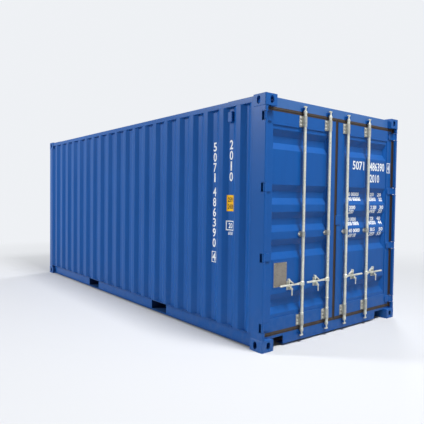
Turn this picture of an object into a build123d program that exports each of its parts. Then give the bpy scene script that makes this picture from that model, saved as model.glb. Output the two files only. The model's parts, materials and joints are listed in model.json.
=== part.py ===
from build123d import *
import os

# A 20 ft general cargo container. X runs along its length with the doors at +X, Y across, Z up.
# The origin is the middle of the base. All sizes are millimetres.

# Overall size
LENGTH = 6058.0
WIDTH = 2438.0
HEIGHT = 2591.0
END_X = LENGTH / 2
SIDE_Y = WIDTH / 2

# Corner castings
CASTING_LENGTH = 178.0
CASTING_WIDTH = 162.0
CASTING_HEIGHT = 118.0
CASTING_END_WALL = 28.5
CASTING_SIDE_WALL = 16.0
CASTING_PROUD = 4.0
CASTING_CORNER_R = 12.0
SLOT_LENGTH = 124.0
SLOT_WIDTH = 63.5
SLOT_FROM_END = 102.5
SLOT_FROM_SIDE = 89.5
HOLE_HEIGHT = 79.5
HOLE_WIDTH = 51.0

# Frame members
RAIL_CLEAR_BASE = 20.0
RAIL_SETBACK = 6.0
ROOF_DROP = 15.0
TOP_RAIL = 54.0
TOP_RAIL_WALL = 3.0
BOTTOM_RAIL_TOP = 165.0
BOTTOM_RAIL_FLANGE = 48.0
BOTTOM_RAIL_LIP = 30.0
BOTTOM_RAIL_WALL = 4.5
POST_WALL = 6.0
POST_WIDTH = 47.0
FRONT_POST_LENGTH = 134.0
POST_LIP = 35.0

# Sheet walls
SHEET = 2.0
WALL_PITCH = 280.0
WALL_FLAT = 72.0
WALL_SLOPE = 68.0
WALL_DEPTH = 36.0
WALL_END_FLOOR = 22.0
WALL_REAR_FLAT = 40.0
WALL_FRONT_FLAT = 8.0
WALL_BEHIND_RAIL = 1.0
FRONT_PITCH = 250.0
FRONT_FLAT = 110.0
FRONT_SLOPE = 18.0
FRONT_DEPTH = 45.0
ROOF_PITCH = 209.0
ROOF_FLAT = 91.0
ROOF_SLOPE = 13.5
ROOF_DEPTH = 20.0
ROOF_SIDE_MARGIN = 45.0
ROOF_END_SLOPE = 30.0
ROOF_CORNER_PLATE = 400.0
ROOF_CORNER_THICK = 3.0

# Floor and underside
FLOOR_TOP = 170.0
BOARD = 28.0
CROSS_PITCH = 285.0
CROSS_FLANGE = 45.0
CROSS_WALL = 4.0
POCKET_SPACING = 2050.0
POCKET_WIDTH = 360.0
POCKET_HEIGHT = 112.0
POCKET_TOP_PLATE = 3.0
POCKET_STRAP = 200.0
POCKET_STRAP_THICK = 5.0

# Door end
DOOR_RECESS = 54.0
LEAF_THICK = 50.0
LEAF_GAP = 30.0
LEAF_SIDE_GAP = 20.0
LEAF_CENTRE_GAP = 46.0
SEAL_CLEAR = 5.0
CENTRE_SEAL_CLEAR = 8.0
SEAL_DEPTH = 26.0
SEAL_SETBACK = 5.0
SEAL_BEAD = 4.0
SEAL_BEAD_WIDTH = 6.0
SILL_TOP = 142.0
SILL_DEPTH = 95.0
SILL_WALL = 5.0
HEADER_DEPTH = 95.0
HEADER_WALL = 4.0
STOP_HEIGHT = 42.0
STOP_BEHIND_LEAF = 4.0
CUTOUT_WIDTH = 200.0
CUTOUT_HEIGHT = 90.0
STILE_OUTER = 100.0
STILE_INNER = 119.0
RAIL_WIDTH = 140.0
FRAME_WALL = 3.0
PANEL_SETBACK = 8.0
PANEL_END_GAP = 43.5
PANEL_FLOOR = 70.0
PANEL_SLOPE = 68.0
PANEL_DEPTH = 34.0
PANEL_MARGIN = 12.0
PANEL_END_SLOPE = 34.0
RECESS_STEPS = (-3, -1, 0, 1, 3)
LAP_LENGTH = 92.0
LAP_HEIGHT = 112.0
LAP_THICK = 6.0

# Hinges
PIN_FROM_END = 17.0
PIN_FROM_SIDE = 17.0
PIN_R = 8.0
KNUCKLE_R = 13.0
PIN_CLEAR = 0.4
BLADE_HEIGHT = 80.0
BLADE_THICK = 10.0
BLADE_LAP = 85.0
BLADE_CORNER_R = 24.0
HINGE_CLEAR = 5.0
LUG_THICK = 12.0
HINGE_FROM_LEAF_END = 74.0
HINGE_COUNT = 4
POCKET_BEHIND_PIN = 38.0

# Locking gear
BAR_FROM_END = 24.0
BAR_R = 17.0
BAR_CENTRES = (-600.0, -170.0, 170.0, 600.0)
BAR_CLEAR = 0.5
BAR_DOWN_SILL = 67.0
BAR_UP_HEADER = 60.0
BRACKET_THICK = 4.0
BRACKET_HEIGHT = 118.0
BRACKET_REACH = 60.0
BRACKET_EDGE = 12.0
CLIP_HEIGHT = 54.0
CLIP_REACH = 26.0
CLIP_Z = 1170.0
COLLAR_R = 21.5
COLLAR_HEIGHT = 12.0
COLLAR_CHAMFER = 2.0
SPARE_COLLAR_BAR = 1
SPARE_COLLAR_Z = 424.0
CAM_FINGER = 12.0
CAM_REACH = 27.0
CAM_TAIL = 24.0
CAM_STEM = 35.0
CAM_STEM_R = 12.0
CAM_BULB = 36.0
CAM_BULB_R = 20.0
CAM_TAPER = 6.0
KEEPER_PLATE = 5.0
KEEPER_CHEEK = 8.0
KEEPER_ROUND = 3.5
KEEPER_CLEAR = 6.0
KEEPER_END_CLEAR = 5.5
KEEPER_REACH = 38.0
KEEPER_PLATE_HEIGHT = 40.0
KEEPER_FLANGE = 12.0
HANDLE_Z = 640.0
HANDLE_LENGTH = 350.0
HANDLE_HEIGHT = 24.0
HANDLE_WAIST = 17.0
HANDLE_WAIST_AT = 70.0
HANDLE_THICK = 9.0
GRIP_R = 11.0
GRIP_FROM_BAR = 214.0
HUB_R = 23.0
HUB_HEIGHT = 50.0
HUB_TAPER = 6.0
EAR_THICK = 6.0
EAR_CLEAR = 0.5
HANDLE_PIVOT = 38.0
HANDLE_PIN_R = 6.0
HOLDER_FROM_BAR = 184.0
HOLDER_WIDTH = 30.0
HOLDER_FOOT = 54.0
HOLDER_THICK = 5.0
HOLDER_DEPTH = 20.0
HOLDER_LIFT = 52.0
HOLDER_DROP = 56.0
HOLDER_ARM = 16.0
HOLDER_ARM_RUN = 62.0
HOLDER_ARM_RISE = 8.0
KNOB_R = 11.0
KNOB_PROUD = 2.0
HOOK_CLEAR = 5.0
HOOK_THICK = 8.0
CATCH_DROP = 40.0
CATCH_PIN_R = 7.0
CATCH_PIN_BORE = 4.0
CATCH_PIN_BORE_DEPTH = 14.0
CATCH_R = 13.0
CATCH_LENGTH = 62.0
CATCH_WIDTH = 14.0
CATCH_THICK = 5.0
CATCH_GAP = 12.0
CATCH_PLAY = 1.0

# Ventilators
VENT_WIDTH = 66.0
VENT_HEIGHT = 112.0
VENT_THICK = 32.0
VENT_TOP_GAP = 47.0
VENT_CHAMFER = 5.0
LOUVRE_COUNT = 6
LOUVRE_HEIGHT = 8.0
LOUVRE_DEPTH = (6.0, 20.0)

# Places that follow from the sizes above
ROOF_TOP = HEIGHT - ROOF_DROP
RAIL_Y = SIDE_Y - RAIL_SETBACK
WALL_Y = RAIL_Y - WALL_BEHIND_RAIL
POST_X = END_X - CASTING_PROUD
POST_Y = SIDE_Y - CASTING_PROUD
POST_BOTTOM = CASTING_HEIGHT
POST_TOP = HEIGHT - CASTING_HEIGHT
REAR_POST_BACK = END_X - CASTING_LENGTH
FRONT_POST_BACK = FRONT_POST_LENGTH - POST_X
POST_INNER_Y = POST_Y - POST_WIDTH
LIP_Y = POST_Y - POST_LIP
CASTING_INNER_Y = SIDE_Y - CASTING_WIDTH
LEAF_X = END_X - DOOR_RECESS
LEAF_BACK = LEAF_X - LEAF_THICK
STOP_X = LEAF_BACK - STOP_BEHIND_LEAF
LEAF_BOTTOM = SILL_TOP + LEAF_GAP
LEAF_TOP = POST_TOP - LEAF_GAP
LEAF_MIDDLE = (LEAF_BOTTOM + LEAF_TOP) / 2
LEAF_OUTER_Y = LIP_Y - LEAF_SIDE_GAP
LEAF_INNER_Y = LEAF_CENTRE_GAP / 2
PANEL_X = LEAF_X - PANEL_SETBACK
PANEL_MOUTH = PANEL_FLOOR + 2 * PANEL_SLOPE
PANEL_REACH = (LEAF_TOP - LEAF_BOTTOM) / 2 - RAIL_WIDTH - PANEL_END_GAP - PANEL_MOUTH / 2
PANEL_PITCH = PANEL_REACH / max(RECESS_STEPS)
PIN_X = END_X - PIN_FROM_END
PIN_Y = SIDE_Y - PIN_FROM_SIDE
BAR_X = END_X - BAR_FROM_END
HINGE_SPACING = (LEAF_TOP - LEAF_BOTTOM - 2 * HINGE_FROM_LEAF_END) / (HINGE_COUNT - 1)
HINGE_Z = [LEAF_BOTTOM + HINGE_FROM_LEAF_END + i * HINGE_SPACING for i in range(HINGE_COUNT)]
BAR_BOTTOM = SILL_TOP - BAR_DOWN_SILL
BAR_TOP = POST_TOP + BAR_UP_HEADER
POCKET_X = (-POCKET_SPACING / 2, POCKET_SPACING / 2)
FLOOR_BOTTOM = FLOOR_TOP - BOARD
SIDES = (-1, 1)
CUT = 1.0


def past(low, high):
    """A range a little longer at both ends, for a cut that passes right through."""
    return (low - CUT, high + CUT)


def outer_corner(body, end=1):
    """The upright edge that stands furthest out towards +Y and the given end."""
    return body.edges().filter_by(Axis.Z).sort_by(lambda edge: end * edge.center().X + edge.center().Y)[-1]


def block(x, y, z):
    """A box between two coordinates on each axis."""
    size = (x[1] - x[0], y[1] - y[0], z[1] - z[0])
    middle = (sum(x) / 2, sum(y) / 2, sum(z) / 2)
    return Pos(*middle) * Box(*size)


def across(points, y):
    """An outline in X and Z, extruded across the container."""
    plane = Plane(origin=(0, y[1], 0), x_dir=(1, 0, 0), z_dir=(0, -1, 0))
    return extrude(plane * Polygon(*points, align=None), amount=y[1] - y[0], dir=(0, -1, 0))


def along(points, x):
    """An outline in Y and Z, extruded along the container."""
    plane = Plane(origin=(x[0], 0, 0), x_dir=(0, 1, 0), z_dir=(1, 0, 0))
    return extrude(plane * Polygon(*points, align=None), amount=x[1] - x[0], dir=(1, 0, 0))


def upright(points, z):
    """An outline in X and Y, extruded upwards."""
    return Pos(0, 0, z[0]) * extrude(Polygon(*points, align=None), amount=z[1] - z[0], dir=(0, 0, 1))


def rod_z(x, y, z, radius):
    return Pos(x, y, sum(z) / 2) * Cylinder(radius, z[1] - z[0])


def rod_x(x, y, z, radius):
    return Pos(sum(x) / 2, y, z) * Rot(0, 90, 0) * Cylinder(radius, x[1] - x[0])


def flip_y(shape):
    return mirror(shape, about=Plane.XZ)


def flip_x(shape):
    return mirror(shape, about=Plane.YZ)


def recess(origin, x_dir, z_dir, mouth, floor, depth):
    """A tapered block that sinks from a mouth to a smaller floor, along the plane's normal."""
    top = Plane(origin=origin, x_dir=x_dir, z_dir=z_dir)
    return loft([(top * Rectangle(*mouth)).face(), (top.offset(depth) * Rectangle(*floor)).face()])


def turned(x, y, points):
    """A solid of revolution round an upright axis, from its radii and heights."""
    outline = [(0.0, points[0][1]), *points, (0.0, points[-1][1])]
    profile = Plane.XZ * Polygon(*outline, align=None)
    return Pos(x, y, 0) * revolve(profile, Axis.Z)


def sheet_outline(start, stop, recesses, slope, depth, thick):
    """Points of a folded sheet: outer flats at 0, and recesses given as centres and floor widths."""
    outer = [(start, 0.0)]
    for centre, floor in recesses:
        half = floor / 2
        outer.append((centre - half - slope, 0.0))
        outer.append((centre - half, depth))
        outer.append((centre + half, depth))
        outer.append((centre + half + slope, 0.0))
    outer.append((stop, 0.0))
    lean = (thick * thick + slope * slope / depth / depth * thick * thick) ** 0.5 - thick * slope / depth
    inner = [(start, thick)]
    for centre, floor in recesses:
        half = floor / 2
        inner.append((centre - half - slope - lean, thick))
        inner.append((centre - half - lean, depth + thick))
        inner.append((centre + half + lean, depth + thick))
        inner.append((centre + half + slope + lean, thick))
    inner.append((stop, thick))
    return outer + inner[::-1]


def save(name, *solids):
    flat = [solid for shape in solids for solid in shape.solids()]
    export_step(flat[0] if len(flat) == 1 else Compound(children=flat), f"parts/{name}.step")


def casting(top):
    """One hollow corner casting at +X, +Y, with its slot in the lower or upper face."""
    z = (HEIGHT - CASTING_HEIGHT, HEIGHT) if top else (0.0, CASTING_HEIGHT)
    body = block((END_X - CASTING_LENGTH, END_X), (SIDE_Y - CASTING_WIDTH, SIDE_Y), z)
    body = fillet(outer_corner(body), CASTING_CORNER_R)
    end, side = CASTING_END_WALL, CASTING_SIDE_WALL
    cavity_x = (END_X - CASTING_LENGTH + side, END_X - side)
    cavity_y = (SIDE_Y - CASTING_WIDTH + side, SIDE_Y - side)
    body -= block(cavity_x, cavity_y, (z[0] + end, z[1] - end))
    slot_x = END_X - SLOT_FROM_END
    slot_y = SIDE_Y - SLOT_FROM_SIDE
    slot_z = z[1] - end - CUT if top else z[0] - CUT
    body -= Pos(slot_x, slot_y, slot_z) * extrude(SlotOverall(SLOT_LENGTH, SLOT_WIDTH), amount=end + 2 * CUT)
    hole = SlotOverall(HOLE_HEIGHT, HOLE_WIDTH)
    middle_z = sum(z) / 2
    side_hole = Plane(origin=(slot_x, SIDE_Y + CUT, middle_z), x_dir=(0, 0, 1), z_dir=(0, -1, 0))
    body -= extrude(side_hole * hole, amount=side + 2 * CUT)
    end_hole = Plane(origin=(END_X + CUT, slot_y, middle_z), x_dir=(0, 0, 1), z_dir=(-1, 0, 0))
    body -= extrude(end_hole * hole, amount=side + 2 * CUT)
    return body


def four_corners(shape):
    return [shape, flip_y(shape), flip_x(shape), flip_x(flip_y(shape))]


def castings():
    save("bottom_castings", *four_corners(casting(False)))
    save("top_castings", *four_corners(casting(True)))


def rear_post():
    """The +Y rear post: a hollow pressing whose lip stands in front of the door's edge."""
    wall = POST_WALL
    outline = [
        (REAR_POST_BACK, POST_INNER_Y), (STOP_X, POST_INNER_Y), (STOP_X, LIP_Y),
        (POST_X, LIP_Y), (POST_X, POST_Y), (REAR_POST_BACK, POST_Y),
    ]
    hollow = [
        (REAR_POST_BACK + wall, POST_INNER_Y + wall), (STOP_X - wall, POST_INNER_Y + wall),
        (STOP_X - wall, LIP_Y + wall), (POST_X - wall, LIP_Y + wall),
        (POST_X - wall, POST_Y - wall), (REAR_POST_BACK + wall, POST_Y - wall),
    ]
    z = (POST_BOTTOM, POST_TOP)
    body = upright(outline, z) - upright(hollow, z)
    body = fillet(outer_corner(body), wall)
    for middle in HINGE_Z:
        pocket_x = (PIN_X - POCKET_BEHIND_PIN, POST_X + CUT)
        body -= block(pocket_x, past(LIP_Y, POST_Y), hinge_span(middle, LUG_THICK))
    return body


def hinge_span(middle, extra):
    half = BLADE_HEIGHT / 2 + HINGE_CLEAR + extra
    return (middle - half, middle + half)


def front_post():
    wall = POST_WALL
    x = (-POST_X, FRONT_POST_BACK)
    y = (POST_INNER_Y, POST_Y)
    body = block(x, y, (POST_BOTTOM, POST_TOP))
    body = fillet(outer_corner(body, end=-1), wall)
    body -= block((x[0] + wall, x[1] - wall), (y[0] + wall, y[1] - wall), (POST_BOTTOM, POST_TOP))
    return body


def posts():
    post = rear_post()
    save("rear_posts", post, flip_y(post))
    post = front_post()
    save("front_posts", post, flip_y(post))


def top_rails():
    x = END_X - CASTING_LENGTH
    wall = TOP_RAIL_WALL
    y = (RAIL_Y - TOP_RAIL, RAIL_Y)
    z = (ROOF_TOP - TOP_RAIL, ROOF_TOP)
    rail = block((-x, x), y, z) - block((-x, x), (y[0] + wall, y[1] - wall), (z[0] + wall, z[1] - wall))
    save("top_side_rails", rail, flip_y(rail))


def bottom_rails():
    """Channels that open outwards, with the web cut through at each fork pocket."""
    wall = BOTTOM_RAIL_WALL
    web = RAIL_Y - BOTTOM_RAIL_FLANGE
    low, high = RAIL_CLEAR_BASE, BOTTOM_RAIL_TOP
    lip = web + BOTTOM_RAIL_LIP
    outline = [
        (web, low), (lip, low), (lip, low + wall), (web + wall, low + wall),
        (web + wall, high - wall), (RAIL_Y, high - wall), (RAIL_Y, high), (web, high),
    ]
    rail = along(outline, (FRONT_POST_BACK, REAR_POST_BACK))
    rail -= block((-END_X, -REAR_POST_BACK), (CASTING_INNER_Y, SIDE_Y), (0, CASTING_HEIGHT))
    for pocket in POCKET_X:
        cut_x = (pocket - POCKET_WIDTH / 2, pocket + POCKET_WIDTH / 2)
        rail -= block(cut_x, (web - CUT, web + wall), (low + wall, low + wall + POCKET_HEIGHT))
    save("bottom_side_rails", rail, flip_y(rail))


def wall_centres(pitch, count):
    return [(i - (count - 1) / 2) * pitch for i in range(count)]


def wall_recesses():
    """The side wall's recesses from front to rear, a narrower one beside each post."""
    end_mouth = WALL_END_FLOOR + 2 * WALL_SLOPE
    foremost = FRONT_POST_BACK + WALL_FRONT_FLAT + end_mouth / 2
    rearmost = REAR_POST_BACK - WALL_REAR_FLAT - end_mouth / 2
    inset = (end_mouth + WALL_FLAT + WALL_PITCH) / 2
    span = rearmost - foremost - 2 * inset
    steps = round(span / WALL_PITCH)
    pitch = span / steps
    floor = WALL_PITCH - WALL_FLAT - 2 * WALL_SLOPE
    full = [(foremost + inset + i * pitch, floor) for i in range(steps + 1)]
    return [(foremost, WALL_END_FLOOR)] + full + [(rearmost, WALL_END_FLOOR)]


def side_walls():
    stop = REAR_POST_BACK
    start = FRONT_POST_BACK
    points = sheet_outline(start, stop, wall_recesses(), WALL_SLOPE, WALL_DEPTH, SHEET)
    plan = [(x, WALL_Y - depth) for x, depth in points]
    wall = upright(plan, (BOTTOM_RAIL_TOP, ROOF_TOP - TOP_RAIL))
    wall -= block((-END_X, -REAR_POST_BACK), (CASTING_INNER_Y, SIDE_Y), (POST_TOP, HEIGHT))
    save("right_wall", wall)
    save("left_wall", flip_y(wall))


def front_end():
    """The closed end: corrugated sheet between a lower channel and an upper tube."""
    y = POST_INNER_Y
    count = int(2 * y / FRONT_PITCH)
    flat = FRONT_PITCH - FRONT_FLAT - 2 * FRONT_SLOPE
    recesses = [(centre, flat) for centre in wall_centres(FRONT_PITCH, count)]
    points = sheet_outline(-y, y, recesses, FRONT_SLOPE, FRONT_DEPTH, SHEET)
    face = -POST_X + CASTING_PROUD
    plan = [(face + depth, across_y) for across_y, depth in points]
    low = BOTTOM_RAIL_TOP
    high = ROOF_TOP - TOP_RAIL
    sheet = upright(plan, (low, high))
    for side in SIDES:
        cut_y = sorted((side * CASTING_INNER_Y, side * (y + CUT)))
        sheet -= block((-END_X, -REAR_POST_BACK), cut_y, (POST_TOP, HEIGHT))
    save("front_wall", sheet)
    wall = BOTTOM_RAIL_WALL
    back = face + BOTTOM_RAIL_FLANGE + RAIL_SETBACK
    base = RAIL_CLEAR_BASE
    outline = [
        (face, base), (back, base), (back, base + wall), (face + wall, base + wall),
        (face + wall, low - wall), (back, low - wall), (back, low), (face, low),
    ]
    sill = across(outline, (-y, y))
    for side in SIDES:
        cut_y = sorted((side * CASTING_INNER_Y, side * (y + CUT)))
        sill -= block(past(face, back), cut_y, (base - CUT, CASTING_HEIGHT))
    save("front_sill", sill)
    wall = TOP_RAIL_WALL
    span = (-CASTING_INNER_Y, CASTING_INNER_Y)
    outer = block((face, face + TOP_RAIL), span, (high, ROOF_TOP))
    inner = block((face + wall, face + TOP_RAIL - wall), span, (high + wall, ROOF_TOP - wall))
    save("front_header", outer - inner)


def roof():
    """A sheet level with the rails, pressed down in closed troughs across the container."""
    half_y = RAIL_Y - TOP_RAIL
    stop = LEAF_X - HEADER_DEPTH
    start = -POST_X + CASTING_PROUD + TOP_RAIL
    count = int((stop - start - ROOF_FLAT) / ROOF_PITCH)
    middle = (start + stop) / 2
    sheet = block((start, stop), (-half_y, half_y), (ROOF_TOP - SHEET, ROOF_TOP))
    mouth = (ROOF_PITCH - ROOF_FLAT, 2 * (half_y - ROOF_SIDE_MARGIN))
    floor = (mouth[0] - 2 * ROOF_SLOPE, mouth[1] - 2 * ROOF_END_SLOPE)
    for centre in wall_centres(ROOF_PITCH, count):
        x = middle + centre
        sheet += recess((x, 0, ROOF_TOP - SHEET), (1, 0, 0), (0, 0, -1), mouth, floor, ROOF_DEPTH)
        sheet -= recess((x, 0, ROOF_TOP), (1, 0, 0), (0, 0, -1), mouth, floor, ROOF_DEPTH)
    for side in SIDES:
        cut_y = sorted((side * CASTING_INNER_Y, side * SIDE_Y))
        for end in SIDES:
            cut_x = sorted((end * (END_X - CASTING_LENGTH), end * END_X))
            sheet -= block(cut_x, cut_y, (POST_TOP, HEIGHT))
    save("roof_panel", sheet)
    x = (END_X - CASTING_LENGTH - ROOF_CORNER_PLATE, END_X - CASTING_LENGTH)
    plate = block(x, (half_y - CASTING_WIDTH, RAIL_Y), (ROOF_TOP, ROOF_TOP + ROOF_CORNER_THICK))
    save("roof_corner_plates", *four_corners(plate))


def channel(x, y, z, flange, wall):
    """A cross member: a channel standing on edge, open towards +X."""
    outline = [
        (x, z[0]), (x + flange, z[0]), (x + flange, z[0] + wall), (x + wall, z[0] + wall),
        (x + wall, z[1] - wall), (x + flange, z[1] - wall), (x + flange, z[1]), (x, z[1]),
    ]
    return across(outline, y)


def underside():
    half_y = RAIL_Y - BOTTOM_RAIL_FLANGE
    y = (-half_y, half_y)
    z = (RAIL_CLEAR_BASE, FLOOR_BOTTOM)
    stop = LEAF_X - SILL_DEPTH
    start = -POST_X + CASTING_PROUD + BOTTOM_RAIL_FLANGE + RAIL_SETBACK
    bays = []
    edges = [start]
    for pocket in POCKET_X:
        edges += [pocket - POCKET_WIDTH / 2, pocket + POCKET_WIDTH / 2]
    edges.append(stop)
    for low, high in zip(edges[0::2], edges[1::2]):
        count = max(1, round((high - low) / CROSS_PITCH))
        bays += [low + (high - low) * (i + 1) / (count + 1) for i in range(count)]
    members = [channel(x - CROSS_FLANGE / 2, y, z, CROSS_FLANGE, CROSS_WALL) for x in bays]
    save("cross_members", *members)
    pockets = []
    for pocket in POCKET_X:
        x = (pocket - POCKET_WIDTH / 2, pocket + POCKET_WIDTH / 2)
        outer_x = (x[0] - CROSS_WALL, x[1] + CROSS_WALL)
        top = RAIL_CLEAR_BASE + BOTTOM_RAIL_WALL + POCKET_HEIGHT
        tunnel = block(outer_x, y, (RAIL_CLEAR_BASE, top + POCKET_TOP_PLATE))
        tunnel -= block(x, y, (RAIL_CLEAR_BASE + POCKET_STRAP_THICK, top))
        middle_y = (y[0] + POCKET_STRAP, y[1] - POCKET_STRAP)
        tunnel -= block(x, middle_y, past(RAIL_CLEAR_BASE, RAIL_CLEAR_BASE + POCKET_STRAP_THICK))
        pockets.append(tunnel)
    save("fork_pockets", *pockets)
    floor_y = RAIL_Y - BOTTOM_RAIL_FLANGE
    floor_x = (start, LEAF_X - SILL_DEPTH)
    save("floor_boards", block(floor_x, (-floor_y, floor_y), (FLOOR_BOTTOM, FLOOR_TOP)))


def ventilator(x):
    """A box on a recess's floor, with a chamfered face and louvres that open to both sides."""
    top = ROOF_TOP - TOP_RAIL - VENT_TOP_GAP
    z = (top - VENT_HEIGHT, top)
    back = WALL_Y - WALL_DEPTH
    width = (x - VENT_WIDTH / 2, x + VENT_WIDTH / 2)
    vent = block(width, (back, back + VENT_THICK), z)
    vent = chamfer(vent.faces().sort_by(Axis.Y)[-1].edges(), VENT_CHAMFER)
    pitch = VENT_HEIGHT / (LOUVRE_COUNT + 1)
    for i in range(LOUVRE_COUNT):
        middle = z[0] + pitch * (i + 1)
        slot_y = (back + LOUVRE_DEPTH[0], back + LOUVRE_DEPTH[1])
        vent -= block(past(*width), slot_y, (middle - LOUVRE_HEIGHT / 2, middle + LOUVRE_HEIGHT / 2))
    return vent


def ventilators():
    """One near the doors on the left wall, one near the front on the right."""
    recesses = wall_recesses()
    save("ventilators", flip_y(ventilator(recesses[-2][0])), ventilator(recesses[1][0]))


def door_end_members():
    """Sill and header: pressed sections, each with a stop that the leaves close against."""
    wall = SILL_WALL
    back = LEAF_X - SILL_DEPTH
    low, high = RAIL_CLEAR_BASE, SILL_TOP
    stop = FLOOR_TOP
    outline = [
        (LEAF_X, low), (LEAF_X, high), (STOP_X, high), (STOP_X, stop), (back, stop), (back, stop - wall),
        (STOP_X - wall, stop - wall), (STOP_X - wall, high - wall), (LEAF_X - wall, high - wall),
        (LEAF_X - wall, low + wall), (back, low + wall), (back, low),
    ]
    sill = across(outline, (-POST_INNER_Y, POST_INNER_Y))
    for side in SIDES:
        cut_y = sorted((side * CASTING_INNER_Y, side * (POST_INNER_Y + CUT)))
        sill -= block(past(back, LEAF_X), cut_y, (low - CUT, CASTING_HEIGHT))
        notch_y = sorted((side * (CASTING_INNER_Y - CUTOUT_WIDTH), side * (CASTING_INNER_Y + CUT)))
        sill -= block(past(back, LEAF_X), notch_y, (low - CUT, low + CUTOUT_HEIGHT))
    save("door_sill", sill)
    wall = HEADER_WALL
    back = LEAF_X - HEADER_DEPTH
    low, high = POST_TOP, ROOF_TOP
    stop = low - STOP_HEIGHT
    span = (-CASTING_INNER_Y, CASTING_INNER_Y)
    hollow_z = (low + wall, high - wall)
    header = block((back, LEAF_X), span, (low, high))
    header -= block((back + wall, LEAF_X - wall), past(*span), hollow_z)
    header += block((STOP_X - wall, STOP_X), (-POST_INNER_Y, POST_INNER_Y), (stop, low))
    save("door_header", header)


def keeper(y, up):
    """A forged horseshoe on a plate: the cam's stem stands in it and the finger passes its end."""
    end = BAR_TOP if up > 0 else BAR_BOTTOM
    outer = end - up * (CAM_FINGER + KEEPER_END_CLEAR)
    inner = end - up * (CAM_FINGER + CAM_STEM - KEEPER_END_CLEAR)
    z = (min(outer, inner), max(outer, inner))
    half = CAM_STEM_R + KEEPER_CLEAR
    front = LEAF_X + KEEPER_REACH
    shoe = block((LEAF_X, front), (y - half - KEEPER_CHEEK, y + half + KEEPER_CHEEK), z)
    shoe = fillet(shoe.edges().filter_by(Axis.Z).group_by(Axis.X)[-1], KEEPER_ROUND)
    shoe -= block((BAR_X, front + CUT), (y - half, y + half), z) + rod_z(BAR_X, y, z, half)
    plate_z = sorted((outer, outer - up * KEEPER_PLATE_HEIGHT))
    width = half + KEEPER_CHEEK + KEEPER_FLANGE
    plate = block((LEAF_X, LEAF_X + KEEPER_PLATE), (y - width, y + width), plate_z)
    return shoe + plate


def keepers():
    save("cam_keepers", *[keeper(y, up) for y in BAR_CENTRES for up in SIDES])


def hinge_lugs():
    """Lug plates above and below each blade with the pin between them, in the post's pockets."""
    solids = []
    for middle in HINGE_Z:
        inner = hinge_span(middle, 0)
        outer = hinge_span(middle, LUG_THICK)
        x = (PIN_X - POCKET_BEHIND_PIN, POST_X)
        lugs = rod_z(PIN_X, PIN_Y, outer, PIN_R)
        for z in ((outer[0], inner[0]), (inner[1], outer[1])):
            lugs += block(x, (LIP_Y, POST_Y), z)
        solids += [lugs, flip_y(lugs)]
    save("hinge_lugs", *solids)


def leaf_frame():
    """The +Y leaf's frame: hollow stiles with channel rails between them."""
    wall = FRAME_WALL
    x = (LEAF_BACK, LEAF_X)
    z = (LEAF_BOTTOM, LEAF_TOP)
    frame = block(x, (LEAF_INNER_Y, LEAF_OUTER_Y), z)
    inner_y = (LEAF_INNER_Y + STILE_INNER, LEAF_OUTER_Y - STILE_OUTER)
    frame -= block(past(*x), inner_y, (z[0] + RAIL_WIDTH, z[1] - RAIL_WIDTH))
    for y in ((LEAF_INNER_Y + wall, inner_y[0] - wall), (inner_y[1] + wall, LEAF_OUTER_Y - wall)):
        frame -= block((x[0] + wall, x[1] - wall), y, (z[0] + wall, z[1] - wall))
    for rail_z in ((z[0] + wall, z[0] + RAIL_WIDTH - wall), (z[1] - RAIL_WIDTH + wall, z[1] - wall)):
        frame -= block((x[0] - CUT, x[1] - wall), inner_y, rail_z)
    return frame


def lap_plate():
    z = (LEAF_MIDDLE - LAP_HEIGHT / 2, LEAF_MIDDLE + LAP_HEIGHT / 2)
    return block((LEAF_X, LEAF_X + LAP_THICK), (0, LAP_LENGTH), z)


def leaf_panel():
    """Flat sheet with five closed troughs pressed inwards."""
    y = (LEAF_INNER_Y + STILE_INNER, LEAF_OUTER_Y - STILE_OUTER)
    z = (LEAF_BOTTOM + RAIL_WIDTH, LEAF_TOP - RAIL_WIDTH)
    sheet = block((PANEL_X - SHEET, PANEL_X), y, z)
    middle_y = sum(y) / 2
    mouth = (y[1] - y[0] - 2 * PANEL_MARGIN, PANEL_MOUTH)
    floor = (mouth[0] - 2 * PANEL_END_SLOPE, PANEL_FLOOR)
    for step in RECESS_STEPS:
        height = LEAF_MIDDLE + step * PANEL_PITCH
        sheet += recess((PANEL_X - SHEET, middle_y, height), (0, 1, 0), (-1, 0, 0), mouth, floor, PANEL_DEPTH)
        sheet -= recess((PANEL_X, middle_y, height), (0, 1, 0), (-1, 0, 0), mouth, floor, PANEL_DEPTH)
    return sheet


def seal_frame(x, inner, outer):
    """A closed frame round the leaf between two distances from its ends; both upright sides are narrower."""
    centre = (LEAF_INNER_Y - CENTRE_SEAL_CLEAR / 2) / (LEAF_GAP - SEAL_CLEAR)
    side = (LEAF_SIDE_GAP - SEAL_CLEAR) / (LEAF_GAP - SEAL_CLEAR)
    low, high = LEAF_BOTTOM, LEAF_TOP
    outside_y = (LEAF_INNER_Y - outer * centre, LEAF_OUTER_Y + outer * side)
    outside = block(x, outside_y, (low - outer, high + outer))
    hole_y = (LEAF_INNER_Y - inner * centre, LEAF_OUTER_Y + inner * side)
    return outside - block(past(*x), hole_y, (low - inner, high + inner))


def leaf_gasket():
    """A rubber frame round the leaf's edge with a bead along its face."""
    reach = LEAF_GAP - SEAL_CLEAR
    face = LEAF_X - SEAL_SETBACK
    body = seal_frame((face - SEAL_DEPTH, face), 0, reach)
    edges = ((reach - SEAL_BEAD_WIDTH) / 2, (reach + SEAL_BEAD_WIDTH) / 2)
    return body + seal_frame((face, face + SEAL_BEAD), *edges)


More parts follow.
